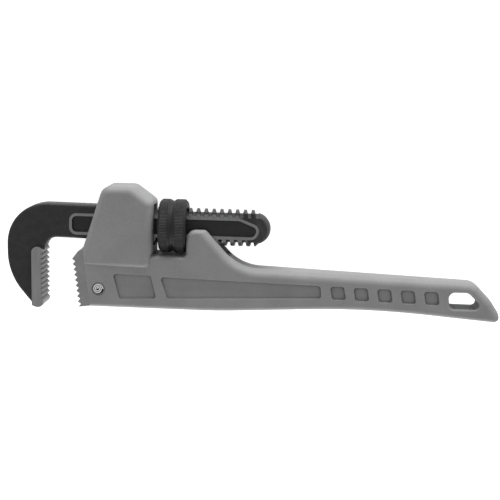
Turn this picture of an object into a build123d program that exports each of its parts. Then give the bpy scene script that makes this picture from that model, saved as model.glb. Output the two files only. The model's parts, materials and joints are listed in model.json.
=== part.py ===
import math
import os

from build123d import *

os.makedirs("parts", exist_ok=True)

# Sizes are millimetres and degrees. Places are measured from the nut's centre on the screw axis:
# x runs along the screw towards the end of the handle, y towards the crown of the head, z through the
# tool's thickness.

# Overall reaches from the nut's centre
hook_reach = 108.4
handle_reach = 211.9
crown_height = 25.8
hook_drop = 55.4

# Screw thread, one start, right hand
pitch = 5.08
crest_radius = 11.9
thread_depth = 2.4
root_radius = crest_radius - thread_depth
crest_land = 1.75
flank_angle = 14.5
crest_at_top = 0.94
thread_start = -30.0
thread_end = 55.5
screw_radial_gap = 0.35
screw_side_gap = 0.4

# Adjusting nut
nut_radius = 17.4
nut_length = 18.2
nut_bevel = 1.5
nut_groove_width = 5.0
nut_groove_depth = 1.4
nut_front_gap = 2.9
nut_back_gap = 0.5
nut_floor_gap = 0.85

# Head of the casting
head_half = 15.0
head_round = 4.5
head_lean = 17.6
crown_front = -44.3
crown_back = -25.5
head_back = -nut_length / 2 - nut_front_gap
shoulder_foot = 16.1
skirt_foot = -27.3

# Saddle and handle of the casting
top_round = 5.2
edge_round = 2.5
half_at_heel = 14.5
half_at_tip = 8.5
saddle_floor = -nut_radius - nut_floor_gap
saddle_back = nut_length / 2 + nut_back_gap
ear_top = -1.1
ear_back = 21.8
neck = (43.8, -25.2)
neck_radius = 31.0
tip_top = (handle_reach - 17.2, -30.2)
tip_bend = (handle_reach - 5.8, -41.8)
tip_slant_foot = -50.6
tip_bottom = -55.6
waist = (handle_reach - 85.9, -48.6)
waist_radius = 600.0
belly = (30.0, -53.3)
belly_radius = 400.0
belly_front = -52.3

# Pockets cast into both sides of the handle
pocket_depth = 1.2
pocket_draft = 32.0
pocket_round = 2.0
short_pocket = ((-37.6, -30.2), (-12.8, -30.7), (-8.9, -46.3), (-33.1, -47.2))
long_pocket = ((-7.0, -31.5), (handle_reach - 115.3, -34.4), (handle_reach - 114.5, -43.0), (-2.0, -46.2))
grip_pocket_first = (handle_reach - 104.0, -39.0)
grip_pocket_last = (handle_reach - 44.0, -40.5)
grip_pocket_count = 5
grip_pocket_width = 9.2
grip_pocket_height = 9.2
grip_pocket_lean = 1.6
grip_pocket_depth = 1.4

# Hang slot through the end of the handle
hang_slot = (
    (handle_reach - 33.6, -36.4),
    (handle_reach - 20.8, -36.4),
    (handle_reach - 14.1, -42.8),
    (handle_reach - 14.1, -47.1),
    (handle_reach - 32.4, -47.1),
)
hang_slot_radii = (4.0, 5.0, 3.0, 2.8, 3.5)
hang_slot_round = 1.4

# Hook jaw
jaw_half = 6.2
jaw_round = 1.8
shank_top = 12.2
shank_bottom = -10.2
hook_top = 13.2
hook_throat = -9.0
hook_face = -83.9
hook_shoulder_radius = 26.8
hook_back_height = 21.2
hook_back_widest_radius = 40.0
hook_back_flat = 0.5
hook_tip = -90.8
hook_tip_radius = 6.5
hook_nose_radius = 3.6
throat_radius = 8.5
nose_reach = 63.2
nose_shoulder = 1.9

# Ground tooth block of the hook
block_half = 9.2
block_width = 7.7
block_top = -15.4
hook_tooth_pitch = 3.25
hook_tooth_depth = 1.8
hook_tooth_top = -18.85
hook_tooth_end = 4.0
hook_tooth_count = round((hook_drop + hook_tooth_top - hook_tooth_end) / hook_tooth_pitch)
hook_tooth_rake = 0.42

# Recessed panel on each side of the shank
panel_front = -65.5
panel_half_height = 5.2
panel_slope_start = 43.0
panel_point = (55.6, 0.2)
panel_slope_end = 52.2
panel_round = 3.0
panel_rim = 1.8
panel_rim_raise = 0.1
panel_depth = 1.6
panel_draft = 20.0

# Heel jaw and its pin
heel_top_tip = (-64.0, -21.8)
heel_lean = 7.5
heel_half = 13.0
heel_depth = 8.0
heel_crown = 5.4
heel_crown_run = 4.6
heel_tooth_count = 10
heel_tooth_pitch = 3.53
heel_tooth_depth = 1.8
heel_tooth_rake = 0.5
tenon_half = 6.0
tenon_depth = 13.5
tenon_top = -6.0
tenon_bottom = -28.2
tenon_gap = 0.15
pin_place = (-46.6, -40.7)
pin_radius = 3.3
pin_wall = 0.7
pin_roll_gap = 0.35
pin_half_turns = 5
pin_gap = 0.03
pin_recess_radius = 4.4
pin_recess_depth = 0.7
pin_inset = 0.15

# Rocking of the jaw in the head, and the spring set above the shank
rock = 4.0
shank_side_gap = 0.85
shank_roof_gap = 0.85
tunnel_floor = -12.7
strip_thickness = 0.9
strip_half = 6.0
strip_front = -42.0
strip_back = -20.0
strip_gap = 0.7
strip_kick = 0.6
strip_kick_run = 2.5
strip_side_gap = 0.5
strip_end_gap = 2.0
coil_at = -31.0
coil_wire = 1.0
coil_wire_sides = 6
coil_radius = 3.2
coil_turns = 3
coil_seat_gap = 0.1
coil_bore_radius = 4.2
coil_bore_top = 22.3
rivet_radius = 1.5
rivet_head_radius = 2.3
rivet_head = 0.8
rivet_gap = 0.05
rivet_sink = 0.5

# The tool lies on its side with the nut's rim on the floor, and the frame's origin is under the middle of its box
mid = Plane(origin=((hook_reach - handle_reach) / 2, (hook_drop - crown_height) / 2, nut_radius))
screw_axis = Axis(mid.origin, (1, 0, 0))
across = Plane(origin=mid.origin, x_dir=(0, 1, 0), z_dir=(1, 0, 0))
plan = Plane(origin=mid.origin, x_dir=(1, 0, 0), z_dir=(0, -1, 0))
heel = mid * Location((*heel_top_tip, 0), (0, 0, heel_lean))
beyond = 60.0
left_end = heel_top_tip[0] - beyond / 6
heel_foot = -(heel_tooth_count - 1) * heel_tooth_pitch

# The sides of the saddle and handle draw in evenly from the heel to the tip
side_taper = math.degrees(math.atan2(half_at_heel - half_at_tip, handle_reach - pin_place[0]))


def half_thickness(x):
    """Half the casting's thickness at a place along the handle, below the head."""
    return half_at_heel - (x - pin_place[0]) * math.tan(math.radians(side_taper))


side = Plane(
    origin=mid.from_local_coords((0, 0, half_thickness(0))),
    x_dir=(math.cos(math.radians(side_taper)), 0, -math.sin(math.radians(side_taper))),
    z_dir=(math.sin(math.radians(side_taper)), 0, math.cos(math.radians(side_taper))),
)


def outline_edges(part, on_back):
    """Edges of the casting's broad faces, either on the back of the handle or on the rest of its outline."""

    def is_chosen(face):
        place = mid.to_local_coords(face.center())
        normal = face.normal_at()
        is_back = place.X > ear_back and normal.Y > -0.1
        return place.X > left_end + 1 and abs(normal.Z) < 0.05 and is_back == on_back

    return part.faces().filter_by(is_chosen).edges().filter_by(Axis.Z, reverse=True)


def strip_bottom(x):
    """Height of the flat spring's underside: flat along the shank, with both ends kicked up."""
    run = max(strip_front + strip_kick_run - x, x - strip_back + strip_kick_run, 0)
    return shank_top + strip_gap + strip_kick * run / strip_kick_run


def roof(x, lift):
    """Height of a roof that leaves the rocked shank free, with lift above the shank's own top at the screw."""
    return (shank_top + lift) / math.cos(math.radians(rock)) - x * math.tan(math.radians(rock))


strip_lift = strip_gap + strip_kick + strip_thickness + shank_roof_gap

# Head of the casting
with BuildPart() as head:
    with BuildSketch(mid):
        with BuildLine():
            slant = (crown_height - skirt_foot) * math.tan(math.radians(head_lean))
            FilletPolyline(
                (crown_front - slant, skirt_foot),
                (crown_front, crown_height),
                (crown_back, crown_height),
                (head_back, shoulder_foot),
                (head_back, skirt_foot),
                radius=(0, 7.0, 6.0, 5.0, 5.0),
                close=True,
            )
        make_face()
    extrude(amount=head_half, both=True)
    fillet(head.faces().filter_by(Axis.Z).edges(), radius=head_round)

# Pockets of the handle, front and back
with BuildPart() as pockets:
    with BuildSketch(side):
        for corners in (short_pocket, long_pocket):
            with BuildLine():
                FilletPolyline(*corners, radius=pocket_round, close=True)
            make_face()
    extrude(amount=-pocket_depth, taper=pocket_draft)
    with BuildSketch(side):
        for number in range(grip_pocket_count):
            share = number / (grip_pocket_count - 1)
            middle = Vector(*grip_pocket_first) * (1 - share) + Vector(*grip_pocket_last) * share
            left = middle.X - grip_pocket_width / 2
            right = middle.X + grip_pocket_width / 2
            low = middle.Y - grip_pocket_height / 2
            high = middle.Y + grip_pocket_height / 2
            with BuildLine():
                FilletPolyline(
                    (left - grip_pocket_lean / 2, high),
                    (right - grip_pocket_lean / 2, high),
                    (right + grip_pocket_lean / 2, low),
                    (left + grip_pocket_lean / 2, low),
                    radius=pocket_round,
                    close=True,
                )
            make_face()
    extrude(amount=-grip_pocket_depth, taper=pocket_draft)
    mirror(about=mid)

# Casting: saddle, ears and handle, joined to the head and then cut
with BuildPart() as handle_body:
    with BuildSketch(mid):
        with BuildLine():
            FilletPolyline(
                (left_end, saddle_floor),
                (saddle_back, saddle_floor),
                (saddle_back, ear_top),
                (ear_back, ear_top),
                neck,
                tip_top,
                tip_bend,
                (handle_reach, tip_slant_foot),
                (handle_reach, tip_bottom),
                waist,
                belly,
                (left_end, belly_front),
                radius=(0, 2.5, 6.0, 0, neck_radius, 10.0, 20.0, 8.0, 0, waist_radius, belly_radius, 0),
                close=True,
            )
        make_face()
    extrude(amount=head_half, both=True)
    with BuildSketch(plan):
        far = handle_reach + beyond
        near = left_end - beyond
        Polygon(
            (near, -half_thickness(near)),
            (far, -half_thickness(far)),
            (far, half_thickness(far)),
            (near, half_thickness(near)),
            align=None,
        )
    extrude(amount=2 * hook_drop, both=True, mode=Mode.INTERSECT)
    # Wide rounds along the top of the handle, then narrow ones round the ears and along the belly
    fillet(outline_edges(handle_body, on_back=True), radius=top_round)
    fillet(outline_edges(handle_body, on_back=False), radius=edge_round)
    add(head.part)
    # Seat of the heel jaw
    with BuildSketch(heel):
        Polygon(
            (-beyond, heel_foot - beyond),
            (heel_depth, heel_foot - beyond),
            (heel_depth, heel_crown),
            (-beyond, heel_crown),
            align=None,
        )
    extrude(amount=2 * head_half, both=True, mode=Mode.SUBTRACT)
    # Slot for the heel jaw's tenon
    with BuildSketch(heel):
        Polygon(
            (heel_depth - beyond, tenon_bottom - tenon_gap),
            (heel_depth + tenon_depth + tenon_gap, tenon_bottom - tenon_gap),
            (heel_depth + tenon_depth + tenon_gap, tenon_top + tenon_gap),
            (heel_depth - beyond, tenon_top + tenon_gap),
            align=None,
        )
    extrude(amount=tenon_half + tenon_gap, both=True, mode=Mode.SUBTRACT)
    # Tunnel for the shank, with a roof that lets the jaw rock
    with BuildSketch(mid):
        Polygon(
            (left_end, tunnel_floor),
            (head_back + head_round, tunnel_floor),
            (head_back + head_round, roof(head_back + head_round, shank_roof_gap)),
            (left_end, roof(left_end, shank_roof_gap)),
            align=None,
        )
    extrude(amount=jaw_half + shank_side_gap, both=True, mode=Mode.SUBTRACT)
    # Recess for the flat spring and bore for the coil
    with BuildSketch(mid):
        Polygon(
            (strip_front - strip_end_gap, 0),
            (strip_back + strip_end_gap, 0),
            (strip_back + strip_end_gap, roof(strip_back + strip_end_gap, strip_lift)),
            (strip_front - strip_end_gap, roof(strip_front - strip_end_gap, strip_lift)),
            align=None,
        )
    extrude(amount=strip_half + strip_side_gap, both=True, mode=Mode.SUBTRACT)
    with BuildSketch(plan.offset(-coil_bore_top)):
        with Locations((coil_at, 0)):
            Circle(coil_bore_radius)
    extrude(amount=coil_bore_top, mode=Mode.SUBTRACT)
    # Slot between the ears
    with BuildSketch(mid):
        with Locations((saddle_back - 1, saddle_floor)):
            Rectangle(2 * beyond, beyond, align=(Align.MIN, Align.MIN))
    extrude(amount=jaw_half + shank_side_gap, both=True, mode=Mode.SUBTRACT)
    # Pin hole with a shallow recess at each end
    with BuildSketch(mid):
        with Locations(pin_place):
            Circle(pin_radius + pin_gap)
    extrude(amount=2 * head_half, both=True, mode=Mode.SUBTRACT)
    for face in (1, -1):
        with BuildSketch(mid.offset(face * (half_thickness(pin_place[0]) - pin_recess_depth))):
            with Locations(pin_place):
                Circle(pin_recess_radius)
        extrude(amount=face * head_round, mode=Mode.SUBTRACT)
    # Hang slot
    with BuildSketch(mid):
        with BuildLine():
            FilletPolyline(*hang_slot, radius=hang_slot_radii, close=True)
        make_face()
    extrude(amount=head_half, both=True, mode=Mode.SUBTRACT)
    slot_left = mid.origin.X + hang_slot[0][0] - 1
    slot_right = mid.origin.X + hang_slot[2][0] + 1
    slot_low = mid.origin.Y + hang_slot[4][1] - 1
    slot_high = mid.origin.Y + hang_slot[0][1] + 1
    rims = handle_body.faces().filter_by(lambda face: abs(face.normal_at().Z) > 0.95).edges()
    rims = rims.filter_by(lambda edge: slot_left < edge.center().X < slot_right)
    rims = rims.filter_by(lambda edge: slot_low < edge.center().Y < slot_high)
    fillet(rims, radius=hang_slot_round)
    add(pockets.part, mode=Mode.SUBTRACT)
handle_body.part.label = "handle_body"
export_step(handle_body.part, "parts/handle_body.step")

# Heel jaw: toothed block with a tenon
with BuildPart() as heel_jaw:
    with BuildSketch(heel):
        Polygon(
            (0, heel_foot),
            (heel_depth, heel_foot),
            (heel_depth, heel_crown),
            (heel_crown_run, heel_crown_run),
            (0, 0),
            align=None,
        )
    extrude(amount=heel_half, both=True)
    with BuildSketch(heel):
        Polygon(
            (heel_crown_run, tenon_bottom),
            (heel_depth + tenon_depth, tenon_bottom),
            (heel_depth + tenon_depth, tenon_top),
            (heel_crown_run, tenon_top),
            align=None,
        )
    extrude(amount=tenon_half, both=True)
    with BuildSketch(heel):
        for number in range(heel_tooth_count - 1):
            tip = -number * heel_tooth_pitch
            Polygon(
                (-1, tip),
                (0, tip),
                (heel_tooth_depth, tip - heel_tooth_rake * heel_tooth_pitch),
                (0, tip - heel_tooth_pitch),
                (-1, tip - heel_tooth_pitch),
                align=None,
            )
    extrude(amount=2 * heel_half, both=True, mode=Mode.SUBTRACT)
    with BuildSketch(mid):
        with Locations(pin_place):
            Circle(pin_radius + pin_gap)
    extrude(amount=2 * heel_half, both=True, mode=Mode.SUBTRACT)
heel_jaw.part.label = "heel_jaw"
export_step(heel_jaw.part, "parts/heel_jaw.step")

# Coiled spring pin that locks the heel jaw: a strip rolled up in half turns that shrink
pin_step = (pin_wall + pin_roll_gap) / 2
pin_core = pin_radius - pin_wall - (pin_half_turns - 1) * pin_step
with BuildPart() as heel_jaw_pin:
    with BuildSketch(mid * Location((*pin_place, 0))):
        with BuildLine():
            for number in range(pin_half_turns):
                centre = (-pin_step * (number % 2), 0)
                turned = 180 * (number % 2)
                radius = pin_radius - number * pin_step
                CenterArc(centre, radius, turned, 180)
                CenterArc(centre, radius - pin_wall, turned, 180)
            Line((pin_radius, 0), (pin_radius - pin_wall, 0))
            Line((-pin_core, 0), (-pin_core - pin_wall, 0))
        make_face()
    extrude(amount=half_thickness(pin_place[0]) - pin_inset, both=True)
heel_jaw_pin.part.label = "heel_jaw_pin"
export_step(heel_jaw_pin.part, "parts/heel_jaw_pin.step")

# Hook jaw: forged hook and shank, threaded bar, ground block and panels. The round at the foot of the hook's back
# has the room that the shoulder's round leaves above it.
hook_back_end = hook_back_height - hook_drop
shoulder_turn = math.pi / 2 + math.atan2(hook_top - shank_top, thread_start + hook_reach)
back_turn = math.atan2(hook_tip + hook_reach, hook_back_height)
back_room = hook_top - hook_back_end - hook_back_flat - hook_shoulder_radius * math.tan(shoulder_turn / 2)
hook_back_radius = min(hook_back_widest_radius, back_room / math.tan(back_turn / 2))
hook_outline = (
    (thread_start, shank_bottom),
    (hook_face, hook_throat),
    (hook_face, -hook_drop),
    (hook_tip, -hook_drop),
    (-hook_reach, hook_back_end),
    (-hook_reach, hook_top),
    (thread_start, shank_top),
)
hook_radii = (0, throat_radius, hook_nose_radius, hook_tip_radius, hook_back_radius, hook_shoulder_radius, 0)
mean_radius = (crest_radius + root_radius) / 2
flank = math.tan(math.radians(flank_angle))
root_land = pitch - crest_land - 2 * (crest_radius - root_radius) * flank

# Over the narrow bands of thread on the flat shank, a tilted ring follows the helix closely
lead_run = pitch * math.asin(jaw_half / mean_radius) / (2 * math.pi)
lead_angle = math.atan2(lead_run, jaw_half)

# Round nose that meets the end of the thread
nose_length = nose_reach - thread_end
nose_height = crest_radius - nose_shoulder
nose_radius = (nose_length**2 + nose_height**2) / (2 * nose_length)
nose_sweep = math.degrees(math.atan2(nose_height, nose_radius - nose_length))

with BuildPart() as screw_bar:
    with BuildSketch(mid):
        with BuildLine():
            CenterArc((nose_reach - nose_radius, 0), nose_radius, 0, nose_sweep)
            Polyline(
                (thread_end, nose_height),
                (thread_end - nose_shoulder, crest_radius),
                (thread_start - pitch / 2, crest_radius),
                (thread_start - pitch / 2, 0),
                (nose_reach, 0),
            )
        make_face()
    revolve(axis=screw_axis)
    with BuildSketch(mid):
        Rectangle(2 * hook_reach, 2 * hook_reach)
    extrude(amount=jaw_half, both=True, mode=Mode.INTERSECT)

panel = (
    (panel_front, panel_half_height),
    (panel_slope_start, panel_half_height),
    panel_point,
    (panel_slope_end, -panel_half_height),
    (panel_front, -panel_half_height),
)

with BuildPart() as panel_cuts:
    with BuildSketch(mid.offset(jaw_half + panel_rim_raise)):
        with BuildLine():
            FilletPolyline(*panel, radius=panel_round, close=True)
        make_face()
    extrude(amount=-panel_depth, taper=panel_draft)
    mirror(about=mid)

with BuildPart() as hook_jaw:
    with BuildSketch(mid):
        with BuildLine():
            FilletPolyline(*hook_outline, radius=hook_radii, close=True)
        make_face()
    extrude(amount=jaw_half, both=True)
    end_of_forging = mid.origin.X + thread_start - 0.5
    rounded = hook_jaw.faces().filter_by(Axis.Z).edges()
    fillet(rounded.filter_by(lambda edge: edge.center().X < end_of_forging), radius=jaw_round)
    add(screw_bar.part)
    # Tooth block with a full round top, bounded by the hook's own outline
    with BuildSketch(mid):
        with BuildLine():
            FilletPolyline(*hook_outline, radius=hook_radii, close=True)
        make_face()
        with Locations((hook_face - block_width / 2, block_top)):
            SlotOverall(
                2 * hook_drop, block_width, rotation=90, align=(Align.MAX, Align.CENTER), mode=Mode.INTERSECT
            )
    extrude(amount=block_half, both=True)
    # Ground rims round the panels
    with BuildSketch(mid):
        with BuildLine():
            FilletPolyline(*panel, radius=panel_round, close=True)
        make_face()
        offset(amount=panel_rim)
    extrude(amount=jaw_half + panel_rim_raise, both=True)
    # Thread, half a turn at a time: grooves across the top and the bottom of the shank
    for first, up in ((crest_at_top + pitch / 2, 1), (crest_at_top + pitch, -1)):
        steps_before = math.floor((first - thread_start) / pitch)
        steps_after = math.floor((thread_end - root_land / 2 - first) / pitch)
        for step in range(-steps_before, steps_after + 1):
            centre = mid.from_local_coords((first + step * pitch, 0, 0))
            along = (math.cos(lead_angle), 0, -up * math.sin(lead_angle))
            with BuildSketch(Plane(origin=centre, x_dir=along, z_dir=(0, up, 0))):
                widest = root_land / 2 + (crest_radius + 1 - root_radius) * flank
                Polygon(
                    (-root_land / 2, root_radius),
                    (root_land / 2, root_radius),
                    (widest, crest_radius + 1),
                    (-widest, crest_radius + 1),
                    align=None,
                )
            revolve(axis=Axis(centre, along), revolution_arc=180, mode=Mode.SUBTRACT)
    add(panel_cuts.part, mode=Mode.SUBTRACT)
    # Teeth
    with BuildSketch(mid):
        for number in range(hook_tooth_count):
            tip = hook_tooth_top - number * hook_tooth_pitch
            Polygon(
                (hook_face + 1, tip),
                (hook_face, tip),
                (hook_face - hook_tooth_depth, tip - hook_tooth_rake * hook_tooth_pitch),
                (hook_face, tip - hook_tooth_pitch),
                (hook_face + 1, tip - hook_tooth_pitch),
                align=None,
            )
    extrude(amount=block_half + 1, both=True, mode=Mode.SUBTRACT)
hook_jaw.part.label = "hook_jaw"
export_step(hook_jaw.part, "parts/hook_jaw.step")

# Adjusting nut: turned ring with a helical ridge that runs in the shank's grooves
bore_radius = crest_radius + screw_radial_gap
ridge_turns = math.ceil(nut_length / pitch) + 1
ridge_start = crest_at_top + pitch / 2 - pitch * math.ceil((nut_length / 2 + pitch) / pitch)
ridge_path = across * Pos(0, 0, ridge_start) * Helix(pitch, ridge_turns * pitch, bore_radius)


def ridge_half_width(radius):
    """Half the width of the nut's ridge at a distance from the screw axis."""
    return root_land / 2 + (radius - root_radius) * flank - screw_side_gap


with BuildPart() as ridge:
    ridge_tip = root_radius + screw_radial_gap
    ridge_foot = bore_radius + screw_radial_gap
    with BuildSketch(Plane(origin=ridge_path @ 0, x_dir=(0, 1, 0), z_dir=ridge_path % 0)):
        Polygon(
            (ridge_tip - bore_radius, ridge_half_width(ridge_tip)),
            (ridge_foot - bore_radius, ridge_half_width(ridge_foot)),
            (ridge_foot - bore_radius, -ridge_half_width(ridge_foot)),
            (ridge_tip - bore_radius, -ridge_half_width(ridge_tip)),
            align=None,
        )
    sweep(path=ridge_path, is_frenet=True)
    with BuildSketch(across.offset(-nut_length / 2)):
        Circle(nut_radius)
    extrude(amount=nut_length, mode=Mode.INTERSECT)

with BuildPart() as adjusting_nut:
    half = nut_length / 2
    groove = nut_groove_width / 2
    groove_floor = nut_radius - nut_groove_depth
    with BuildSketch(mid):
        Polygon(
            (-half, bore_radius),
            (-half, nut_radius - nut_bevel),
            (-half + nut_bevel, nut_radius),
            (-groove, nut_radius),
            (nut_groove_depth - groove, groove_floor),
            (groove - nut_groove_depth, groove_floor),
            (groove, nut_radius),
            (half - nut_bevel, nut_radius),
            (half, nut_radius - nut_bevel),
            (half, bore_radius),
            align=None,
        )
    revolve(axis=screw_axis)
    add(ridge.part)
adjusting_nut.part.label = "adjusting_nut"
export_step(adjusting_nut.part, "parts/adjusting_nut.step")

# Spring set above the shank: a strip, a coil and the rivet that joins them
strip_floor = shank_top + strip_gap
strip_roof = strip_floor + strip_thickness
rivet_axis = Axis(mid.from_local_coords((coil_at, 0, 0)), (0, 1, 0))

with BuildPart() as flat_spring:
    bends = (strip_front, strip_front + strip_kick_run, strip_back - strip_kick_run, strip_back)
    with BuildSketch(mid):
        Polygon(
            *((x, strip_bottom(x)) for x in bends),
            *((x, strip_bottom(x) + strip_thickness) for x in reversed(bends)),
            align=None,
        )
    extrude(amount=strip_half, both=True)
    hole = rivet_radius + rivet_gap
    with BuildSketch(mid):
        Polygon(
            (coil_at, strip_floor - rivet_sink),
            (coil_at + hole + 2 * rivet_sink, strip_floor - rivet_sink),
            (coil_at + hole, strip_floor + rivet_sink),
            (coil_at + hole, strip_roof + rivet_sink),
            (coil_at, strip_roof + rivet_sink),
            align=None,
        )
    revolve(axis=rivet_axis, mode=Mode.SUBTRACT)
flat_spring.part.label = "flat_spring"
export_step(flat_spring.part, "parts/flat_spring.step")

with BuildPart() as spring_rivet:
    with BuildSketch(mid):
        Polygon(
            (coil_at, strip_floor),
            (coil_at + rivet_radius + rivet_sink, strip_floor),
            (coil_at + rivet_radius, strip_floor + rivet_sink),
            (coil_at + rivet_radius, strip_roof + rivet_gap),
            (coil_at + rivet_head_radius, strip_roof + rivet_gap),
            (coil_at + rivet_head_radius, strip_roof + rivet_head / 2),
            (coil_at + rivet_head_radius - rivet_head / 2, strip_roof + rivet_head),
            (coil_at, strip_roof + rivet_head),
            align=None,
        )
    revolve(axis=rivet_axis)
spring_rivet.part.label = "spring_rivet"
export_step(spring_rivet.part, "parts/spring_rivet.step")

coil_low = strip_roof + coil_seat_gap + coil_wire / 2
coil_high = coil_bore_top - coil_seat_gap - coil_wire / 2
coil_pitch = (coil_high - coil_low) / coil_turns


def coil_point(turn):
    """Place on the coil's centre line, in turns from its lower end."""
    angle = 2 * math.pi * turn
    x = coil_at + coil_radius * math.cos(angle)
    return mid.from_local_coords((x, coil_low + coil_pitch * turn, coil_radius * math.sin(angle)))


def coil_way(turn):
    """Direction of the coil's centre line, as a unit vector."""
    angle = 2 * math.pi * turn
    rise = coil_pitch / (2 * math.pi)
    return Vector(-coil_radius * math.sin(angle), rise, coil_radius * math.cos(angle)).normalized()


def middle_of_arc(start, corner, end):
    """Middle of the arc that leaves start and reaches end, tangent to the lines that meet at corner."""
    weight = (end - start).length / 2 / (corner - start).length
    return (start + corner * (2 * weight) + end) * (1 / (2 + 2 * weight))


def biarc(start, start_way, end, end_way):
    """Two arcs from start to end that keep both directions and join smoothly."""
    reach = end - start
    square = 2 * start_way.dot(end_way) - 2
    slope = -2 * reach.dot(start_way + end_way)
    arm = (-slope - math.sqrt(slope**2 - 4 * square * reach.dot(reach))) / (2 * square)
    first_corner = start + start_way * arm
    last_corner = end - end_way * arm
    join = (first_corner + last_corner) * 0.5
    ThreePointArc(start, middle_of_arc(start, first_corner, join), join)
    ThreePointArc(join, middle_of_arc(join, last_corner, end), end)


half_turns = [number / 2 for number in range(2 * coil_turns + 1)]
with BuildLine() as coil_line:
    for turn, following in zip(half_turns, half_turns[1:]):
        biarc(coil_point(turn), coil_way(turn), coil_point(following), coil_way(following))

with BuildPart() as coil_spring:
    with BuildSketch(Plane(origin=coil_line.line @ 0, z_dir=coil_line.line % 0)):
        RegularPolygon(coil_wire / 2, coil_wire_sides)
    sweep(path=coil_line.line)
coil_spring.part.label = "coil_spring"
export_step(coil_spring.part, "parts/coil_spring.step")

samples = [coil_point(number / 48) for number in range(48 * coil_turns + 1)]
nearest = min((first - last).length for i, first in enumerate(samples) for last in samples[i + 24 :])
print(f"coil spring: least gap to itself {nearest - coil_wire:.2f} mm")
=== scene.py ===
"""Looks of a straight pipe wrench with a cast aluminium handle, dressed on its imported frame."""

import json
import logging
import math
from dataclasses import dataclass, field
from enum import Enum

import bpy
import numpy as np
from mathutils import Matrix, Vector


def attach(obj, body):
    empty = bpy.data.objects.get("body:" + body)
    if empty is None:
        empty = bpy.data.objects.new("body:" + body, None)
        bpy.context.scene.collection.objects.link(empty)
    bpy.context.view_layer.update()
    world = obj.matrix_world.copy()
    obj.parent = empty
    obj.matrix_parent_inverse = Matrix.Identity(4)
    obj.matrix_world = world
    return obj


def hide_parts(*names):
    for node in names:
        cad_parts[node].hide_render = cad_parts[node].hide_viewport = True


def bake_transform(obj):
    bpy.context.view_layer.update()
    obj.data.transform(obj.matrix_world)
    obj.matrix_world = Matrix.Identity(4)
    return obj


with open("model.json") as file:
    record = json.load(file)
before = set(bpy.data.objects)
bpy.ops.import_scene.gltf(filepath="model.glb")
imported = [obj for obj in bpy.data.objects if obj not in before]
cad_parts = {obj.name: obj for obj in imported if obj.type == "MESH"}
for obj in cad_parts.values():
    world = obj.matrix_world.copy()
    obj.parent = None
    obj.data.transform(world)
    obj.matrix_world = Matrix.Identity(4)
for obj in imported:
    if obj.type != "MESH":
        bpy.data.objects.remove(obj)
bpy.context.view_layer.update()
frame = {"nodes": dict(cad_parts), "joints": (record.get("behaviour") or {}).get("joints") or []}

log = logging.getLogger("pipe_wrench")
MM = 0.001
Colour = tuple[float, float, float]
Place = tuple[float, float, float]
Range = tuple[float, float]
Socket = bpy.types.NodeSocket
Value = Socket | float

WHITE: Colour = (1.0, 1.0, 1.0)
EVEN: Place = (1.0, 1.0, 1.0)
RISE: Range = (0.0, 1.0)
FALL: Range = (1.0, 0.0)
SHARP_EDGE = math.radians(40)

# Noise keeps near 0.5, so its contrast is drawn out from one of these windows.
BROAD: Range = (0.3, 0.7)
NARROW: Range = (0.35, 0.65)


class Direction(Enum):
    """The three directions of the frame: along the screw, towards the crown, and through the thickness."""

    ALONG = "X"
    CROWN = "Y"
    THICKNESS = "Z"


class Operation(Enum):
    """Sums that a finish is worked out with, under Blender's names."""

    ADD = "ADD"
    SUBTRACT = "SUBTRACT"
    MULTIPLY = "MULTIPLY"
    LARGEST = "MAXIMUM"
    SIZE = "ABSOLUTE"
    ROOT = "SQRT"
    OVER = "GREATER_THAN"
    UNDER = "LESS_THAN"


def joint_place(name: str) -> Place:
    """Where a joint of the frame sits, in metres."""
    return next(tuple(joint["pos_m"]) for joint in frame["joints"] if joint["name"] == name)


@dataclass(frozen=True)
class Screw:
    """Where the screw axis lies, and the sizes that the jaw and the nut share, in metres."""

    x: float
    y: float
    z: float
    pitch: float = 5.08 * MM
    root_radius: float = 9.5 * MM
    crest_at_top: float = 0.94 * MM
    root_land: float = 2.089 * MM
    flank: float = math.tan(math.radians(14.5))
    side_gap: float = 0.4 * MM
    radial_gap: float = 0.35 * MM
    nut_radius: float = 17.4 * MM


SCREW = Screw(*joint_place("nut_turn"))


@dataclass(frozen=True)
class Pattern:
    """One noise: its marks per metre, its finer layers and the scale of each axis.

    A small scale of one axis draws the marks out along it.
    """

    scale: float
    layers: float = 3.0
    stretch: Place = EVEN


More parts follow.
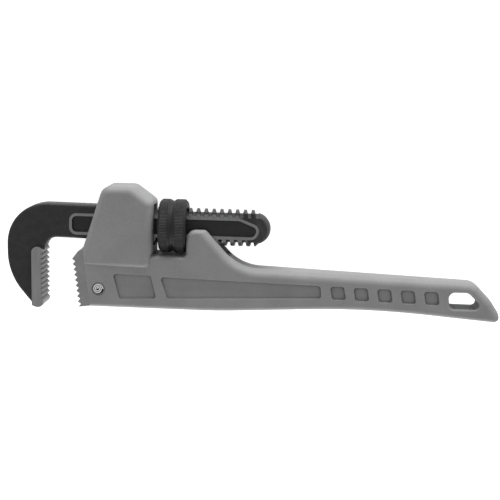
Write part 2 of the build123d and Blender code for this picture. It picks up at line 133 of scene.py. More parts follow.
class Recipe:
    """Node tree of one finish, filled through a few short calls.

    Every pattern reads Object coordinates in metres, so a scale of 1000 gives marks about 1 mm wide.
    """

    occlusion_samples: int = 12
    edge_window: Range = (0.62, 0.92)

    def __init__(self, name: str) -> None:
        """Make an empty material with its shader and its coordinates.

        Args:
            name: Name of the material.
        """
        self.material = bpy.data.materials.new(name)
        self.material.use_nodes = True
        self.nodes = self.material.node_tree.nodes
        self.links = self.material.node_tree.links
        self.shader = self.nodes["Principled BSDF"]
        coordinates = self.nodes.new("ShaderNodeTexCoord")
        self.place = coordinates.outputs["Object"]
        self.parts = self.nodes.new("ShaderNodeSeparateXYZ")
        self.links.new(self.place, self.parts.inputs[0])
        self.facing = self.nodes.new("ShaderNodeSeparateXYZ")
        self.links.new(coordinates.outputs["Normal"], self.facing.inputs[0])

    def feed(self, socket: Socket, value: Value | Colour) -> None:
        """Link a socket to another, or set it to a plain value.

        Args:
            socket: Input to fill.
            value: Output socket, number or colour.
        """
        if isinstance(value, bpy.types.NodeSocket):
            self.links.new(value, socket)
        elif isinstance(value, tuple) and socket.type == "RGBA":
            socket.default_value = (*value, 1.0)
        else:
            socket.default_value = value

    def coordinate(self, direction: Direction) -> Socket:
        """Place in one direction, in metres."""
        return self.parts.outputs[direction.value]

    def chain(self, operation: Operation, first: Value, *others: Value) -> Socket:
        """Work out one sum from left to right.

        Args:
            operation: The sum.
            first: First value, and the only one of a sum that takes one.
            others: Values that follow.

        Returns:
            The result.
        """
        result = first
        for other in others or (0.0,):
            node = self.nodes.new("ShaderNodeMath")
            node.operation = operation.value
            self.feed(node.inputs[0], result)
            self.feed(node.inputs[1], other)
            result = node.outputs[0]
        return result

    def product(self, *values: Value) -> Socket:
        """The values multiplied."""
        return self.chain(Operation.MULTIPLY, *values)

    def largest(self, *values: Value) -> Socket:
        """The largest of the values."""
        return self.chain(Operation.LARGEST, *values)

    def over(self, value: Socket, limit: float) -> Socket:
        """1 where a value is over a limit, 0 elsewhere."""
        return self.chain(Operation.OVER, value, limit)

    def under(self, value: Socket, limit: float) -> Socket:
        """1 where a value is under a limit, 0 elsewhere."""
        return self.chain(Operation.UNDER, value, limit)

    def away(self, direction: Direction, middle: float) -> Socket:
        """Distance from a plane across one direction, in metres."""
        offset = self.chain(Operation.SUBTRACT, self.coordinate(direction), middle)
        return self.chain(Operation.SIZE, offset)

    def from_line(self, middles: dict[Direction, float]) -> Socket:
        """Distance from a straight line: the root of the two squared offsets across it.

        Args:
            middles: Where the line lies in the two directions across it, in metres.

        Returns:
            The distance, in metres.
        """
        squares = []
        for direction, middle in middles.items():
            offset = self.chain(Operation.SUBTRACT, self.coordinate(direction), middle)
            squares.append(self.product(offset, offset))
        return self.chain(Operation.ROOT, self.chain(Operation.ADD, *squares))

    def from_screw(self) -> Socket:
        """Distance from the screw axis, in metres."""
        return self.from_line({Direction.CROWN: SCREW.y, Direction.THICKNESS: SCREW.z})

    def noise(self, pattern: Pattern) -> Socket:
        """Add a noise pattern.

        Args:
            pattern: Its scale, layers and stretch.

        Returns:
            Height of the pattern, about 0 to 1.
        """
        node = self.nodes.new("ShaderNodeTexNoise")
        node.inputs["Scale"].default_value = pattern.scale
        node.inputs["Detail"].default_value = pattern.layers
        place = self.place
        if pattern.stretch != EVEN:
            mapping = self.nodes.new("ShaderNodeMapping")
            mapping.inputs["Scale"].default_value = pattern.stretch
            self.links.new(self.place, mapping.inputs["Vector"])
            place = mapping.outputs["Vector"]
        self.links.new(place, node.inputs["Vector"])
        return node.outputs["Fac"]

    def band(self, value: Socket, window: Range, results: Range = RISE) -> Socket:
        """Map a window of a value to other results, by a smooth step with clamped ends.

        Args:
            value: What is read.
            window: Values that give the first and the last result.
            results: First and last result.

        Returns:
            The mapped value.
        """
        node = self.nodes.new("ShaderNodeMapRange")
        node.interpolation_type = "SMOOTHSTEP"
        for socket, number in zip(node.inputs[1:5], (*window, *results)):
            socket.default_value = number
        self.links.new(value, node.inputs[0])
        return node.outputs[0]

    def mix(self, share: Value, first: Value | Colour, second: Value | Colour, colour: bool = True) -> Socket:
        """Mix two colours or two numbers.

        Args:
            share: 0 gives first, 1 gives second.
            first: Colour or number at 0.
            second: Colour or number at 1.
            colour: Whether the two are colours.

        Returns:
            The mixed colour or number.
        """
        node = self.nodes.new("ShaderNodeMix")
        node.data_type = "RGBA" if colour else "FLOAT"
        wanted = "RGBA" if colour else "VALUE"
        inputs = [socket for socket in node.inputs if socket.enabled and socket.type == wanted]
        self.feed(node.inputs[0], share)
        for socket, value in zip(inputs[-2:], (first, second)):
            self.feed(socket, value)
        return next(socket for socket in node.outputs if socket.enabled)

    def bump(self, height: Socket, depth: float, under: Socket | None = None) -> Socket:
        """Add a bump of a real depth.

        Args:
            height: Pattern of 0 to 1.
            depth: How deep the pattern is, in metres.
            under: Normal of a coarser bump below this one.

        Returns:
            The bumped normal.
        """
        node = self.nodes.new("ShaderNodeBump")
        node.inputs["Distance"].default_value = depth
        self.links.new(height, node.inputs["Height"])
        if under is not None:
            self.links.new(under, node.inputs["Normal"])
        return node.outputs["Normal"]

    def walls_near(self, reach: float, inside: bool) -> Socket:
        """Add a node that looks for walls of the same piece close by.

        Args:
            reach: How far away a wall still counts, in metres.
            inside: Whether it looks through the metal in place of through the air.

        Returns:
            1 where no wall is near, falling towards 0 where walls stand close.
        """
        node = self.nodes.new("ShaderNodeAmbientOcclusion")
        node.only_local = True
        node.inside = inside
        node.samples = self.occlusion_samples
        node.inputs["Distance"].default_value = reach
        return node.outputs["AO"]

    def hollows(self, reach: float) -> Socket:
        """1 on open surface, falling towards 0 in grooves and corners."""
        return self.walls_near(reach, inside=False)

    def edges(self, reach: float) -> Socket:
        """0 on broad surface, rising to 1 along outer edges, where the metal behind the surface is thin."""
        return self.band(self.walls_near(reach, inside=True), self.edge_window, FALL)

    def paint(self, **looks: Value | Colour) -> bpy.types.Material:
        """Fill the shader's sockets.

        Args:
            looks: Value of each socket, under its name with underscores for spaces.

        Returns:
            The finished material.
        """
        for name, value in looks.items():
            socket = name.replace("_", " ").title().replace("Ior", "IOR")
            self.feed(self.shader.inputs[socket], value)
        return self.material


@dataclass(frozen=True)
class CastingFinish:
    """Bead-blasted cast aluminium, darkened in its corners and along its pockets' walls by painted shade.

    A faint parting line runs along the middle of its edges.
    """

    dark: Colour = (0.18, 0.18, 0.182)
    light: Colour = (0.219, 0.219, 0.221)
    # Painted shade colour for the corners and the pockets' walls.
    corner: Colour = (0.112, 0.112, 0.114)
    rubbed: Colour = (0.25, 0.25, 0.252)
    blotches: Pattern = Pattern(55.0, 4.0)
    grain: Pattern = Pattern(1900.0)
    grain_share: float = 0.55
    grain_depth: float = 0.06 * MM
    waves: Pattern = Pattern(180.0, 2.0)
    wave_depth: float = 0.08 * MM
    parting_half_width: float = 0.35 * MM
    parting_height: float = 0.012 * MM
    corner_reach: float = 3.0 * MM
    corner_window: Range = (0.5, 0.98)
    wall_window: Range = (0.93, 0.99)
    wall_facing: Range = (0.7, 0.97)
    edge_reach: float = 0.8 * MM
    edge_blotches: Range = (0.35, 0.6)
    edge_rub: float = 0.35
    pin_place: tuple[float, float] = (-98.35 * MM, -25.9 * MM)
    # Painted shade is kept mostly off the spot-faced ring round the pin.
    pin_unshaded_rim: Range = (4.5 * MM, 5.0 * MM)
    pin_shade_share: float = 0.3
    metallic: float = 0.1
    roughness: Range = (0.58, 0.68)
    specular: float = 0.18

    def painted_shade(self, recipe: Recipe) -> Socket:
        """Find the corners and the pockets' walls, which get painted shade.

        Most of it is kept off the spot-faced ring round the pin.

        Args:
            recipe: Node tree that gets the nodes.

        Returns:
            0 where no shade is painted, 1 where the painted shade is darkest.
        """
        open_sky = recipe.hollows(self.corner_reach)
        corners = recipe.band(open_sky, self.corner_window, FALL)
        side_face = recipe.chain(Operation.SIZE, recipe.facing.outputs[Direction.THICKNESS.value])
        upright = recipe.band(side_face, self.wall_facing, FALL)
        walls = recipe.product(upright, recipe.band(open_sky, self.wall_window, FALL))
        pin_x, pin_y = self.pin_place
        from_pin = recipe.from_line({Direction.ALONG: pin_x, Direction.CROWN: pin_y})
        kept = recipe.band(from_pin, self.pin_unshaded_rim, (self.pin_shade_share, 1.0))
        return recipe.product(recipe.largest(corners, walls), kept)

    def material(self) -> bpy.types.Material:
        """Blotches and grain tint the metal, and waves, blast marks and the parting line raise it.

        Returns:
            The finish of the casting.
        """
        recipe = Recipe("blasted_aluminium")
        blotches = recipe.noise(self.blotches)
        grain = recipe.noise(self.grain)
        shade = recipe.mix(self.grain_share, blotches, grain, colour=False)
        metal = recipe.mix(recipe.band(shade, NARROW), self.dark, self.light)
        patchy = recipe.band(blotches, self.edge_blotches, (0.0, self.edge_rub))
        metal = recipe.mix(recipe.product(recipe.edges(self.edge_reach), patchy), metal, self.rubbed)
        waves = recipe.bump(recipe.noise(self.waves), self.wave_depth)
        blasted = recipe.bump(grain, self.grain_depth, waves)
        middle = recipe.away(Direction.THICKNESS, SCREW.z)
        parting = recipe.band(middle, (0.0, self.parting_half_width), FALL)
        return recipe.paint(
            # Painted shade: the corner colour darkens the corners and the pockets' walls.
            base_color=recipe.mix(self.painted_shade(recipe), metal, self.corner),
            metallic=self.metallic,
            roughness=recipe.band(blotches, BROAD, self.roughness),
            specular_ior_level=self.specular,
            normal=recipe.bump(parting, self.parting_height, blasted),
        )


@dataclass(frozen=True)
class ForgingFinish:
    """Black phosphate on a forging, ground bare on the raised rims, the tooth block and the tooth face."""

    black: Colour = (0.0128, 0.0128, 0.0133)
    black_light: Colour = (0.0206, 0.0206, 0.0211)
    # Colour of the rubbed crests and edges, also used for the painted highlight towards the nose.
    rubbed: Colour = (0.06, 0.06, 0.062)
    bare: Colour = (0.19, 0.19, 0.192)
    bare_dark: Colour = (0.16, 0.16, 0.162)
    # Painted shade colour in the roots of the teeth.
    painted_root_shade: Colour = (0.04, 0.04, 0.041)
    mottle: Pattern = Pattern(220.0, 5.0)
    mottle_depth: float = 0.14 * MM
    scale_marks: Pattern = Pattern(900.0)
    scale_share: float = 0.45
    scale_depth: float = 0.07 * MM
    patch_window: Range = (0.38, 0.62)
    grinding: Pattern = Pattern(900.0, 3.0, (1.0, 0.06, 1.0))
    rim_half: float = 6.25 * MM
    flat_half: float = 6.15 * MM
    block_back: float = -143.3 * MM
    tooth_top: float = -2.6 * MM
    root_reach: float = 2.6 * MM
    root_window: Range = (0.5, 1.0)
    shank_front: float = -125.0 * MM
    shank_black: float = 0.2
    thread_front: float = -82.0 * MM
    thread_end_radius: Range = (10.4 * MM, 11.6 * MM)
    thread_end_bare: Range = (1.0, 0.1)
    crest_radius: Range = (11.6 * MM, 11.85 * MM)
    edge_reach: float = 0.7 * MM
    edge_marks: Range = (0.4, 0.65)
    edge_rub: Range = (0.1, 0.5)
    nose_slant: float = 0.33
    nose_black: Range = (-2.8 * MM, 0.2 * MM)
    # Painted highlight: the black is lightened towards the nose in place of the light on a rounder nose,
    # drawn as rubbed metal.
    nose_highlight_span: Range = (-0.8 * MM, 4.2 * MM)
    nose_highlight_share: Range = (0.22, 0.38)
    black_roughness: Range = (0.4, 0.6)
    bare_roughness: Range = (0.34, 0.46)
    specular: float = 0.2

    def thread_ends(self, recipe: Recipe) -> Socket:
        """Pick out the ends of the thread on the flat sides, which the grinding of the rims has also bared.

        Args:
            recipe: Node tree that gets the nodes.

        Returns:
            1 on the thread's ends, fading out towards the crests and the slanted start of the nose.
        """
        along = recipe.coordinate(Direction.ALONG)
        flat = recipe.over(recipe.away(Direction.THICKNESS, SCREW.z), self.flat_half)
        below_crest = recipe.band(recipe.from_screw(), self.thread_end_radius, self.thread_end_bare)
        threaded = recipe.over(along, self.thread_front)
        lean = recipe.product(recipe.coordinate(Direction.CROWN), self.nose_slant)
        before_nose = recipe.band(recipe.chain(Operation.ADD, along, lean), self.nose_black, FALL)
        return recipe.product(flat, below_crest, threaded, before_nose)

    def bare_places(self, recipe: Recipe) -> Socket:
        """Split the bare steel from the black by its height, its place on the hook and the thread's ends.

        Args:
            recipe: Node tree that gets the nodes.

        Returns:
            1 on bare steel, 0 on black.
        """
        raised = recipe.over(recipe.away(Direction.THICKNESS, SCREW.z), self.rim_half)
        before_back = recipe.over(recipe.coordinate(Direction.ALONG), self.block_back)
        below_top = recipe.under(recipe.coordinate(Direction.CROWN), self.tooth_top)
        return recipe.largest(raised, recipe.product(before_back, below_top), self.thread_ends(recipe))

    def rubbing_and_nose_highlight(self, recipe: Recipe, mottle: Socket, marks: Socket) -> Socket:
        """Thin the black on the thread's crests and along edges as rubbing, and lighten it towards the nose
        as a painted highlight.

        Args:
            recipe: Node tree that gets the nodes.
            mottle: Pattern that breaks up the rubbing of the crests and the painted highlight of the nose.
            marks: Pattern that breaks up the rubbing of the edges.

        Returns:
            0 on whole black, rising with the share of rubbed metal and of painted highlight.
        """
        along = recipe.coordinate(Direction.ALONG)
        crests = recipe.band(recipe.from_screw(), self.crest_radius)
        crests = recipe.product(crests, recipe.over(along, self.thread_front), mottle)
        edges = recipe.band(marks, self.edge_marks, self.edge_rub)
        edges = recipe.product(recipe.edges(self.edge_reach), edges)
        # Painted highlight towards the nose.
        nose = recipe.product(recipe.band(along, self.nose_highlight_span), recipe.band(mottle, BROAD, self.nose_highlight_share))
        return recipe.largest(crests, edges, nose)

    def ground_steel(self, recipe: Recipe, grinding: Socket) -> Socket:
        """Bare steel with its grinding lines.

        Painted shade darkens it in the roots of the teeth, and it is a little blackened on the shank.

        Args:
            recipe: Node tree that gets the nodes.
            grinding: Pattern of the grinding lines.

        Returns:
            Colour of the bare steel.
        """
        steel = recipe.mix(recipe.band(grinding, BROAD), self.bare_dark, self.bare)
        # Painted shade darkens the roots of the teeth.
        roots = recipe.band(recipe.hollows(self.root_reach), self.root_window, FALL)
        steel = recipe.mix(roots, steel, self.painted_root_shade)
        on_shank = recipe.over(recipe.coordinate(Direction.ALONG), self.shank_front)
        return recipe.mix(recipe.product(on_shank, self.shank_black), steel, self.black_light)

    def material(self) -> bpy.types.Material:
        """Mottled black where the forging is coated, ground steel where it is bare.

        Returns:
            The finish of the hook jaw.
        """
        recipe = Recipe("black_forging")
        mottle = recipe.noise(self.mottle)
        marks = recipe.noise(self.scale_marks)
        grinding = recipe.noise(self.grinding)
        patches = recipe.mix(self.scale_share, mottle, marks, colour=False)
        black = recipe.mix(recipe.band(patches, self.patch_window), self.black, self.black_light)
        black = recipe.mix(self.rubbing_and_nose_highlight(recipe, mottle, marks), black, self.rubbed)
        bare = self.bare_places(recipe)
        dull = recipe.band(patches, NARROW, self.black_roughness)
        ground = recipe.band(grinding, BROAD, self.bare_roughness)
        forged = recipe.bump(mottle, self.mottle_depth)
        return recipe.paint(
            base_color=recipe.mix(bare, black, self.ground_steel(recipe, grinding)),
            metallic=bare,
            roughness=recipe.mix(bare, dull, ground, colour=False),
            specular_ior_level=self.specular,
            normal=recipe.bump(marks, self.scale_depth, forged),
        )


@dataclass(frozen=True)
class NutFinish:
    """Black nut whose knurl tips are rubbed a little lighter."""

    black: Colour = (0.014, 0.014, 0.0145)
    tips: Colour = (0.05, 0.05, 0.051)
    tip_radius: Range = (SCREW.nut_radius - 0.22 * MM, SCREW.nut_radius)
    tip_wear: Range = (0.4, 1.0)
    knurl_start: Range = (2.7 * MM, 3.3 * MM)
    mottle: Pattern = Pattern(400.0, 4.0)
    grain: Pattern = Pattern(2200.0, 2.0)
    grain_depth: float = 0.015 * MM
    roughness: Range = (0.5, 0.62)
    specular: float = 0.15

    def material(self) -> bpy.types.Material:
        """Pick out the tips by their distance from the screw axis and from the nut's middle.

        Returns:
            The finish of the nut.
        """
        recipe = Recipe("black_nut")
        mottle = recipe.noise(self.mottle)
        tips = recipe.band(recipe.from_screw(), self.tip_radius)
        knurled = recipe.band(recipe.away(Direction.ALONG, SCREW.x), self.knurl_start)
        worn = recipe.product(tips, knurled, recipe.band(mottle, BROAD, self.tip_wear))
        return recipe.paint(
            base_color=recipe.mix(worn, self.black, self.tips),
            metallic=0.0,
            roughness=recipe.band(mottle, BROAD, self.roughness),
            specular_ior_level=self.specular,
            normal=recipe.bump(recipe.noise(self.grain), self.grain_depth),
        )


@dataclass(frozen=True)
class SteelFinish:
    """Bare steel with the lines of its last cut drawn out along one axis."""

    name: str
    dark: Colour
    light: Colour
    roughness: Range
    cut: Pattern
    cut_depth: float = 0.02 * MM
    stain: Pattern = Pattern(150.0, 4.0)
    stain_share: float = 0.4
    # Painted shade in the hollows: how far it reaches, its window and how dark it is.
    root_reach: float = 1.6 * MM
    root_window: Range = (0.4, 0.9)
    root_shade: float = 0.25

    def material(self) -> bpy.types.Material:
        """Stretched noise gives the cut lines in colour, gloss and height, and painted shade darkens the
        hollows.

        Returns:
            The finish of one steel piece.
        """
        recipe = Recipe(self.name)
        cut = recipe.noise(self.cut)
        shade = recipe.mix(self.stain_share, cut, recipe.noise(self.stain), colour=False)
        steel = recipe.mix(recipe.band(shade, BROAD), self.dark, self.light)
        # Painted shade darkens the hollows.
        roots = recipe.band(recipe.hollows(self.root_reach), self.root_window, FALL)
        root_colour = tuple(self.root_shade * part for part in self.dark)
        return recipe.paint(
            base_color=recipe.mix(roots, steel, root_colour),
            metallic=1.0,
            roughness=recipe.band(shade, BROAD, self.roughness),
            normal=recipe.bump(cut, self.cut_depth),
        )


JAW_STEEL = SteelFinish(
    name="ground_jaw_steel",
    dark=(0.155, 0.155, 0.157),
    light=(0.195, 0.195, 0.197),
    roughness=(0.36, 0.48),
    cut=Pattern(1500.0, 3.0, (1.0, 1.0, 0.05)),
)
PIN_STEEL = SteelFinish(
    name="bright_pin_steel",
    dark=(0.45, 0.45, 0.45),
    light=(0.6, 0.6, 0.6),
    roughness=(0.24, 0.36),
    cut=Pattern(1500.0, 3.0, (1.0, 1.0, 0.2)),
)
SPRING_STEEL = SteelFinish(
    name="oiled_spring_steel",
    dark=(0.3, 0.3, 0.32),
    light=(0.4, 0.4, 0.42),
    roughness=(0.29, 0.41),
    cut=Pattern(1500.0, 3.0, (0.1, 1.0, 1.0)),
)


def dress(node: str, material: bpy.types.Material) -> None:
    """Give a CAD node one material in place of its own.

    Args:
        node: Name of the node.
        material: Its finish.
    """
    slots = frame["nodes"][node].data.materials
    slots.clear()
    slots.append(material)


def mesh_piece(
    name: str, points: np.ndarray, faces: list[list[int]], material: bpy.types.Material
) -> bpy.types.Object:
    """Put points and faces into a new object at the origin.

    Args:
        name: Name of the piece.
        points: Grid of x, y, z in metres.
        faces: Point numbers of each face, anticlockwise from outside.
        material: Finish of the piece.

    Returns:
        The new object, shaded smooth with its sharp edges kept.
    """
    mesh = bpy.data.meshes.new(name)
    mesh.from_pydata(points.reshape(-1, 3).tolist(), [], faces)
    mesh.polygons.foreach_set("use_smooth", np.ones(len(faces), dtype=bool))
    mesh.set_sharp_from_angle(angle=SHARP_EDGE)
    mesh.materials.append(material)
    mesh.validate()
    piece = bpy.data.objects.new(name, mesh)
    bpy.context.scene.collection.objects.link(piece)
    return piece


def ring_faces(rows: int, columns: int, close_rows: bool) -> list[list[int]]:
    """Quads of a grid whose columns close on themselves.

    Args:
        rows: Number of rows of points.
        columns: Number of points in each row.
        close_rows: Whether the last row joins the first.

    Returns:
        Rows of four point numbers, with point (i, j) at i * columns + j.
    """
    i = np.arange(rows if close_rows else rows - 1)[:, None]
    j = np.arange(columns)[None, :]
    following = (i + 1) % rows
    beside = (j + 1) % columns
    corners = (i * columns + j, i * columns + beside, following * columns + beside, following * columns + j)
    quads = np.stack([np.broadcast_to(corner, (len(i), columns)) for corner in corners], axis=-1)
    return quads.reshape(-1, 4).tolist()


def end_faces(rows: int, columns: int) -> list[list[int]]:
    """The two faces that close a tube's ends, on its first and last row of points."""
    first = list(range(columns))
    return [first[::-1], [(rows - 1) * columns + number for number in first]]


def ramp(value: np.ndarray, start: float, end: float) -> np.ndarray:
    """0 up to the start, 1 from the end on, and a straight line between them."""
    return np.clip((value - start) / (end - start), 0, 1)


def round_screw(along: np.ndarray, radius: np.ndarray, angle: np.ndarray) -> np.ndarray:
    """Points round the screw axis: y = radius * cos(angle) and z = radius * sin(angle), from the axis.

    Args:
        along: Place along the screw from the nut's middle, in metres.
        radius: Distance from the axis, in metres.
        angle: Angle from the crown's direction, in radians.

    Returns:
        Grid of x, y, z in metres.
    """
    y = SCREW.y + radius * np.cos(angle)
    z = SCREW.z + radius * np.sin(angle)
    return np.stack([SCREW.x + along, y, z], axis=-1)


@dataclass
class AdjustingNut:
    """Knurled nut with two bands, a smooth groove between them and a helical ridge inside."""

    radius: float = SCREW.nut_radius
    length: float = 18.2 * MM
    head_trim: float = 0.6 * MM
    bevel: float = 1.5 * MM
    groove_width: float = 5.0 * MM
    groove_depth: float = 1.1 * MM
    bore_radius: float = 12.25 * MM
    section_steps: tuple[int, ...] = (3, 4, 12, 20, 12, 4, 3, 8)
    rim_tolerance: float = 0.01 * MM
    knurl_count: int = 112
    knurl_depth: float = 0.28 * MM
    knurl_sharpness: float = 0.96
    knurl_on_bevel: Range = (0.55, 0.05)
    knurl_on_groove: Range = (0.4, 0.5)
    steps_per_knurl: int = 8
    ridge_margin: float = 1.6 * MM
    ridge_steps: int = 320
    ridge_taper: float = 0.5
    ridge_least: float = 0.02
    finish: NutFinish = field(default_factory=NutFinish)

    def profile(self) -> np.ndarray:
        """Half section of the ring, as rows of x and radius, closed round its bore.

        The groove is a raised cosine: its depth times (1 + cos(2 pi x / width)) / 2.

        Returns:
            Points in order: up the head's face, over the bands and the groove, down the other face and
            along the bore.
        """
        tail_face = self.length / 2
        head_face = self.head_trim - self.length / 2
        groove = self.groove_width / 2
        corners = np.array(
            [
                (head_face, self.bore_radius),
                (head_face, self.radius - self.bevel),
                (head_face + self.bevel, self.radius),
                (-groove, self.radius),
                (groove, self.radius),
                (tail_face - self.bevel, self.radius),
                (tail_face, self.radius - self.bevel),
                (tail_face, self.bore_radius),
            ]
        )
        following = np.roll(corners, -1, axis=0)
        runs = [
            start + (end - start) * np.linspace(0, 1, count, endpoint=False)[:, None]
            for start, end, count in zip(corners, following, self.section_steps)
        ]
        along, radius = np.concatenate(runs).T
        on_groove = (radius > self.radius - self.rim_tolerance) & (np.abs(along) < groove)
        dip = self.groove_depth * (1 + np.cos(2 * np.pi * along / self.groove_width)) / 2
        return np.stack([along, radius - np.where(on_groove, dip, 0.0)], axis=-1)

    def knurl(self, angle: np.ndarray, along: np.ndarray, radius: np.ndarray) -> np.ndarray:
        """Depth of the knurl: a softened triangle wave asin(k cos(n a)) round the rim.

        It fades out on the bevels and in the groove.

        Args:
            angle: Angle round the screw, from a knurl tip.
            along: Place along the screw from the nut's middle.
            radius: Radius before the knurl.

        Returns:
            How far each point is cut in, in metres.
        """
        wave = np.arcsin(self.knurl_sharpness * np.cos(self.knurl_count * angle))
        wave /= math.asin(self.knurl_sharpness)
        on_bevel = ramp(radius, *(self.radius - share * self.bevel for share in self.knurl_on_bevel))
        on_groove = ramp(np.abs(along), *(share * self.groove_width for share in self.knurl_on_groove))
        return self.knurl_depth * (0.5 - 0.5 * wave) * on_bevel * on_groove

    def ring(self, material: bpy.types.Material) -> bpy.types.Object:
        """The ring: its half section turned round the screw, less the knurl's depth.

        Args:
            material: Finish of the ring.

        Returns:
            The ring, with a knurl tip straight down, where it touches what it lies on.
        """
        section = self.profile()
        columns = self.knurl_count * self.steps_per_knurl
        turn = np.linspace(0, 2 * np.pi, columns, endpoint=False)[None, :]
        along = np.broadcast_to(section[:, :1], (len(section), columns))
        plain = np.broadcast_to(section[:, 1:], along.shape)
        radius = plain - self.knurl(turn, along, plain)
        points = round_screw(along, radius, turn - np.pi / 2)
        return mesh_piece("nut_ring", points, ring_faces(len(section), columns, True), material)

    def ridge(self, material: bpy.types.Material) -> bpy.types.Object:
        """The inner thread: a trapezoid carried along the helix x = start + pitch * angle / (2 pi).

        Args:
            material: Finish of the ridge.

        Returns:
            The ridge, tapered to nothing at both ends inside the nut's wall.
        """
        middle = SCREW.crest_at_top + SCREW.pitch / 2
        reach = self.length / 2 - self.ridge_margin
        first, last = (2 * np.pi * (end - middle) / SCREW.pitch for end in (-reach, reach))
        angle = np.linspace(first, last, self.ridge_steps)[:, None]
        tip = SCREW.root_radius + SCREW.radial_gap
        foot = self.bore_radius + SCREW.radial_gap
        radii = np.array([foot, tip, tip, foot])[None, :]
        side = np.array([-1.0, -1.0, 1.0, 1.0])[None, :]
        fade = np.clip(np.minimum(angle - first, last - angle) / self.ridge_taper, self.ridge_least, 1)
        radius = foot + (radii - foot) * fade
        width = SCREW.root_land / 2 + (radius - SCREW.root_radius) * SCREW.flank - SCREW.side_gap
        along = middle + SCREW.pitch * angle / (2 * np.pi) + side * width
        faces = ring_faces(len(angle), radii.size, False) + end_faces(len(angle), radii.size)
        return mesh_piece("nut_ridge", round_screw(along, radius, angle), faces, material)

    def build(self) -> None:
        """Make both pieces, put them on the nut's body and let them stand for its CAD node."""
        material = self.finish.material()
        for piece in (self.ring(material), self.ridge(material)):
            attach(piece, "nut")
            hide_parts("adjusting_nut")
            log.info("%s: %d faces", piece.name, len(piece.data.polygons))


@dataclass
class Body:
    """Casting with its pinned heel jaw."""

    casting: CastingFinish = field(default_factory=CastingFinish)

    def dress(self) -> None:
        """Give the casting, the heel jaw and its pin their finishes."""
        dress("handle_body", self.casting.material())
        dress("heel_jaw", JAW_STEEL.material())
        dress("heel_jaw_pin", PIN_STEEL.material())
        log.info("handle_body, heel_jaw and heel_jaw_pin dressed")


@dataclass
class HookJaw:
    """Forged jaw with its threaded shank."""

    finish: ForgingFinish = field(default_factory=ForgingFinish)

    def dress(self) -> None:
        """Give the forging its finish."""
        dress("hook_jaw", self.finish.material())
        log.info("hook_jaw dressed")


@dataclass
class SpringSet:
    """Strip, coil and rivet inside the head."""

    rigid_nodes: tuple[str, ...] = ("flat_spring", "spring_rivet")
    coil_x: float = -82.75 * MM
    coil_low: float = 29.1 * MM
    coil_high: float = 36.6 * MM
    coil_radius: float = 2.85 * MM
    wire_radius: float = 0.4 * MM
    turns: int = 3
    steps_per_turn: int = 40
    wire_sides: int = 10

    def coil(self, material: bpy.types.Material) -> bpy.types.Object:
        """Round wire carried along the helix x = r cos(a), y = pitch * a / (2 pi), z = r sin(a).

        Each ring of the wire lies across the helix, spanned by the direction away from the coil's axis and
        its cross product with the direction of the wire.

        Args:
            material: Finish of the wire.

        Returns:
            The coil, whose lowest ring sits on the strip and whose highest sits against the head.
        """
        rows = self.turns * self.steps_per_turn + 1
        angle = np.linspace(0, 2 * np.pi * self.turns, rows)
        rise = (self.coil_high - self.coil_low) / (2 * np.pi * self.turns)
        outward = np.stack([np.cos(angle), np.zeros(rows), np.sin(angle)], axis=-1)
        along = np.stack([-np.sin(angle), np.full(rows, rise / self.coil_radius), np.cos(angle)], axis=-1)
        along /= np.linalg.norm(along, axis=1, keepdims=True)
        across = np.cross(along, outward)
        axis_points = np.stack(
            [np.full(rows, self.coil_x), self.coil_low + rise * angle, np.full(rows, SCREW.z)], axis=-1
        )
        centre = axis_points + self.coil_radius * outward
        turn = np.linspace(0, 2 * np.pi, self.wire_sides, endpoint=False)[None, :, None]
        ring = np.cos(turn) * outward[:, None, :] + np.sin(turn) * across[:, None, :]
        points = centre[:, None, :] + self.wire_radius * ring
        faces = ring_faces(rows, self.wire_sides, False) + end_faces(rows, self.wire_sides)
        return mesh_piece("head_coil", points, faces, material)

    def build(self) -> None:
        """Dress the strip and the rivet, and make a new coil between the head and the strip in place of the
        hidden CAD coil.
        """
        material = SPRING_STEEL.material()
        for node in self.rigid_nodes:
            dress(node, material)
            log.info("%s dressed", node)
        coil = self.coil(material)
        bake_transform(coil)
        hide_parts("coil_spring")
        log.info("%s: %d faces", coil.name, len(coil.data.polygons))


@dataclass(frozen=True)
class Lamp:
    """One soft box: where it hangs, what it looks at, its size in metres and its power in watts."""

    name: str
    place: Place
    target: Place
    size: tuple[float, float]
    power: float


def seen_rays(tree: bpy.types.NodeTree) -> Socket:
    """Tell the rays that show a surface from those that only light others.

    Args:
        tree: Node tree that gets the nodes.

    Returns:
        1 for camera, glossy and transmission rays, 0 for the rest.
    """
    rays = tree.nodes.new("ShaderNodeLightPath")
    seen = rays.outputs["Is Camera Ray"]
    for kind in ("Is Glossy Ray", "Is Transmission Ray"):
        either = tree.nodes.new("ShaderNodeMath")
        either.operation = Operation.LARGEST.value
        tree.links.new(seen, either.inputs[0])
        tree.links.new(rays.outputs[kind], either.inputs[1])
        seen = either.outputs[0]
    return seen


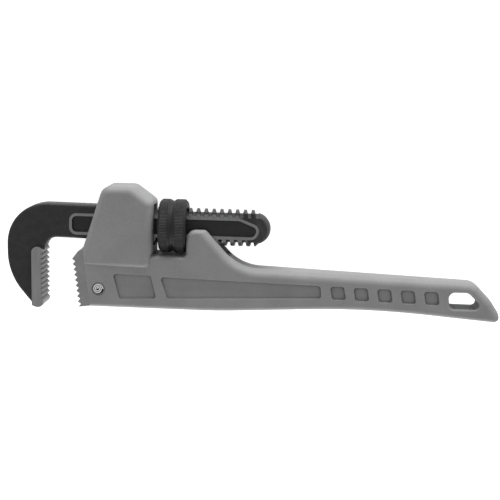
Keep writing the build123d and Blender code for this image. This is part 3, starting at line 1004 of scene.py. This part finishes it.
@dataclass
class Studio:
    """Pale floor, soft boxes, an even sky and the camera."""

    lamps: tuple[Lamp, ...] = (
        Lamp("top_box", (0.15, 0.99, 0.11), (0.0, 0.0, 0.02), (1.6, 0.16), 19.0),
        Lamp("low_box", (-0.15, -0.9, 0.09), (0.0, 0.0, 0.02), (1.4, 0.16), 11.5),
    )
    sky_strength: float = 0.74
    floor_half: float = 4.0
    floor_level: float = -0.05 * MM
    floor_colour: Colour = (0.9, 0.9, 0.9)
    floor_roughness: float = 0.9
    floor_glow: float = 0.6
    camera_place: Place = (33.96 * MM, 116.64 * MM, 696.6 * MM)
    camera_target: Place = (-1.64 * MM, 0.38 * MM, 17.4 * MM)
    camera_roll: float = math.radians(1.39)
    lens: float = 76.4
    sensor_width: float = 36.0

    def floor_material(self) -> bpy.types.Material:
        """Pale matt colour, with a little light of its own for the rays that show it, so it looks white.

        Returns:
            The finish of the floor.
        """
        material = bpy.data.materials.new("pale_floor")
        material.use_nodes = True
        tree = material.node_tree
        shader = tree.nodes["Principled BSDF"]
        shader.inputs["Base Color"].default_value = (*self.floor_colour, 1.0)
        shader.inputs["Roughness"].default_value = self.floor_roughness
        shader.inputs["Specular IOR Level"].default_value = 0.0
        shader.inputs["Emission Color"].default_value = (*WHITE, 1.0)
        glow = tree.nodes.new("ShaderNodeMath")
        glow.operation = Operation.MULTIPLY.value
        glow.inputs[1].default_value = self.floor_glow
        tree.links.new(seen_rays(tree), glow.inputs[0])
        tree.links.new(glow.outputs[0], shader.inputs["Emission Strength"])
        return material

    def floor(self) -> None:
        """Lay the floor just below the wrench."""
        mesh = bpy.data.meshes.new("floor")
        signs = ((-1, -1), (1, -1), (1, 1), (-1, 1))
        corners = [(x * self.floor_half, y * self.floor_half, self.floor_level) for x, y in signs]
        mesh.from_pydata(corners, [], [(0, 1, 2, 3)])
        mesh.materials.append(self.floor_material())
        floor = bpy.data.objects.new("floor", mesh)
        bpy.context.scene.collection.objects.link(floor)

    def sky(self) -> None:
        """Even sky, white to the rays that show it."""
        world = bpy.data.worlds.new("sky")
        bpy.context.scene.world = world
        world.use_nodes = True
        tree = world.node_tree
        background = tree.nodes["Background"]
        background.inputs["Color"].default_value = (*WHITE, 1.0)
        strength = tree.nodes.new("ShaderNodeMapRange")
        strength.inputs["To Min"].default_value = self.sky_strength
        strength.inputs["To Max"].default_value = 1.0
        tree.links.new(seen_rays(tree), strength.inputs["Value"])
        tree.links.new(strength.outputs[0], background.inputs["Strength"])

    def light(self) -> None:
        """Hang the soft boxes."""
        for lamp in self.lamps:
            data = bpy.data.lights.new(lamp.name, "AREA")
            data.shape = "RECTANGLE"
            data.size, data.size_y = lamp.size
            data.energy = lamp.power
            box = bpy.data.objects.new(lamp.name, data)
            box.location = lamp.place
            aim = Vector(lamp.target) - Vector(lamp.place)
            box.rotation_euler = aim.to_track_quat("-Z", "Y").to_euler()
            bpy.context.scene.collection.objects.link(box)

    def camera(self) -> None:
        """Place the camera by its target, with its roll about the line of sight."""
        data = bpy.data.cameras.new("camera")
        data.lens = self.lens
        data.sensor_width = self.sensor_width
        back = (Vector(self.camera_place) - Vector(self.camera_target)).normalized()
        level = Vector((0, 1, 0)).cross(back).normalized()
        upright = back.cross(level)
        right = level * math.cos(self.camera_roll) + upright * math.sin(self.camera_roll)
        up = back.cross(right)
        camera = bpy.data.objects.new("camera", data)
        turned = Matrix((right, up, back)).transposed().to_4x4()
        camera.matrix_world = Matrix.Translation(Vector(self.camera_place)) @ turned
        bpy.context.scene.collection.objects.link(camera)
        bpy.context.scene.camera = camera

    def build(self) -> None:
        """Set the whole studio."""
        bpy.context.scene.view_settings.view_transform = "Standard"
        self.floor()
        self.sky()
        self.light()
        self.camera()
        log.info("studio set")


def main() -> None:
    """Dress the frame's nodes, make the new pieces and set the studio."""
    logging.basicConfig(level=logging.INFO, format="%(name)s %(message)s")
    Body().dress()
    HookJaw().dress()
    SpringSet().build()
    AdjustingNut().build()
    Studio().build()


if __name__ == "__main__":
    main()
